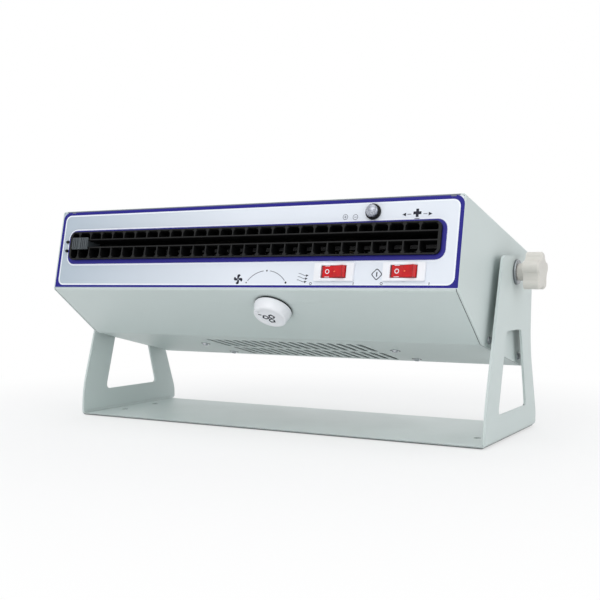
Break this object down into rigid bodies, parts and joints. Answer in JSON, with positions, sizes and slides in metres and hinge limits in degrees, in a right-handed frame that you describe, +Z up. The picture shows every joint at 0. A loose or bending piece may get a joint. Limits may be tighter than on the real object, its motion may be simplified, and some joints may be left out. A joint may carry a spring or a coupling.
{
  "type": "ionizing air blower",
  "caption": "Bench-top ionizing blower: wide tilting metal housing with a finned slot outlet, held by star knobs between the arms of a U-shaped stand.",
  "frame": {"origin": "middle of the underside of the stand, on the table", "axes": "+X to the user's right along the outlet, +Y to the back, +Z up"},
  "size_m": [0.462, 0.2029, 0.1991],
  "materials": {
    "painted_sheet": "fine satin powder coat",
    "overlay_film": "satin printed film",
    "blue_trim": "satin",
    "black_plastic": "satin moulded",
    "grey_plastic": "satin moulded",
    "ivory_plastic": "semi-gloss moulded",
    "red_plastic": "translucent gloss",
    "clear_lens": "clear moulded lens",
    "bristle": "nylon bristle",
    "steel": "zinc plated",
    "galvanised": "galvanised sheet",
    "aluminium": "mill finish",
    "laminations": "stacked laminations",
    "winding": "taped copper winding",
    "bronze": "sintered bronze",
    "brass": "plain",
    "mica": "mica card",
    "resistance_wire": "bright wire",
    "insulator": "satin",
    "rubber": "matte",
    "circuit_board": "solder mask",
    "filter_foam": "open foam"
  },
  "bodies": {
    "stand": {"stand_bracket": "painted_sheet"},
    "housing": {"lower_tray": "painted_sheet", "top_cover": "painted_sheet", "rear_panel": "painted_sheet", "front_panel": "painted_sheet", "front_overlay": "overlay_film", "outlet_surround": "blue_trim", "outlet_grille": "black_plastic", "emitter_bar": "insulator", "emitter_needles": "steel", "outlet_duct": "galvanised", "heater_frame": "mica", "heater_coil": "resistance_wire", "fan_scroll": "galvanised", "fan_tongue": "galvanised", "fan_plate_left": "galvanised", "fan_plate_right": "galvanised", "fan_bearings": "bronze", "motor_core": "laminations", "motor_coil": "winding", "motor_bracket": "galvanised", "motor_posts": "steel", "filter_frame": "insulator", "filter_pad": "filter_foam", "ion_supply": "black_plastic", "control_board": "circuit_board", "board_parts": "black_plastic", "board_standoffs": "brass", "heater_switch": "ivory_plastic", "power_switch": "ivory_plastic", "lamp_bezel": "black_plastic", "lamp_lens": "clear_lens", "lamp_body": "black_plastic", "speed_pot": "steel", "pot_nut": "steel", "inlet_socket": "black_plastic", "inlet_pins": "brass", "pivot_plates": "galvanised", "pivot_nuts": "steel", "pivot_spacers": "rubber", "fan_screws": "steel", "cover_screws": "steel"},
    "fan": {"rotor_blades": "aluminium", "rotor_discs": "aluminium", "fan_shaft": "steel", "motor_armature": "aluminium"},
    "point_cleaner": {"cleaner_slider": "grey_plastic", "cleaner_brush": "bristle"},
    "heater_rocker": {"heater_rocker": "red_plastic"},
    "power_rocker": {"power_rocker": "red_plastic"},
    "speed_control": {"speed_knob": "ivory_plastic", "speed_shaft": "steel"},
    "clamp_left": {"clamp_knob_left": "ivory_plastic", "clamp_stud_left": "steel", "clamp_washer_left": "steel"},
    "clamp_right": {"clamp_knob_right": "ivory_plastic", "clamp_stud_right": "steel", "clamp_washer_right": "steel"}
  },
  "joints": [
    {"name": "housing_tilt", "type": "hinge", "parent": "stand", "child": "housing", "pos_m": [0, 0.0038, 0.1415], "axis": [1, 0, 0], "continuous": true},
    {"name": "fan_spin", "type": "hinge", "parent": "housing", "child": "fan", "pos_m": [0, 0.01683, 0.11624], "axis": [1, 0, 0], "continuous": true},
    {"name": "cleaner_slide", "type": "slide", "parent": "housing", "child": "point_cleaner", "axis": [1, 0, 0], "range_m": [0, 0.338]},
    {"name": "heater_switch_rock", "type": "hinge", "parent": "housing", "child": "heater_rocker", "pos_m": [0.0958, -0.11919, 0.14004], "axis": [0, 0.2079, 0.9781], "range_deg": [0, 16]},
    {"name": "power_switch_rock", "type": "hinge", "parent": "housing", "child": "power_rocker", "pos_m": [0.1558, -0.11919, 0.14004], "axis": [0, 0.2079, 0.9781], "range_deg": [0, 16]},
    {"name": "speed_turn", "type": "hinge", "parent": "housing", "child": "speed_control", "pos_m": [0.0295, -0.10223, 0.11109], "axis": [0, 0.5915, 0.8063], "range_deg": [-8, 105]},
    {"name": "clamp_turn_left", "type": "hinge", "parent": "housing", "child": "clamp_left", "pos_m": [-0.208, 0.0038, 0.1415], "axis": [-1, 0, 0], "range_deg": [0, 360]},
    {"name": "clamp_turn_right", "type": "hinge", "parent": "housing", "child": "clamp_right", "pos_m": [0.208, 0.0038, 0.1415], "axis": [1, 0, 0], "range_deg": [0, 360]}
  ]
}
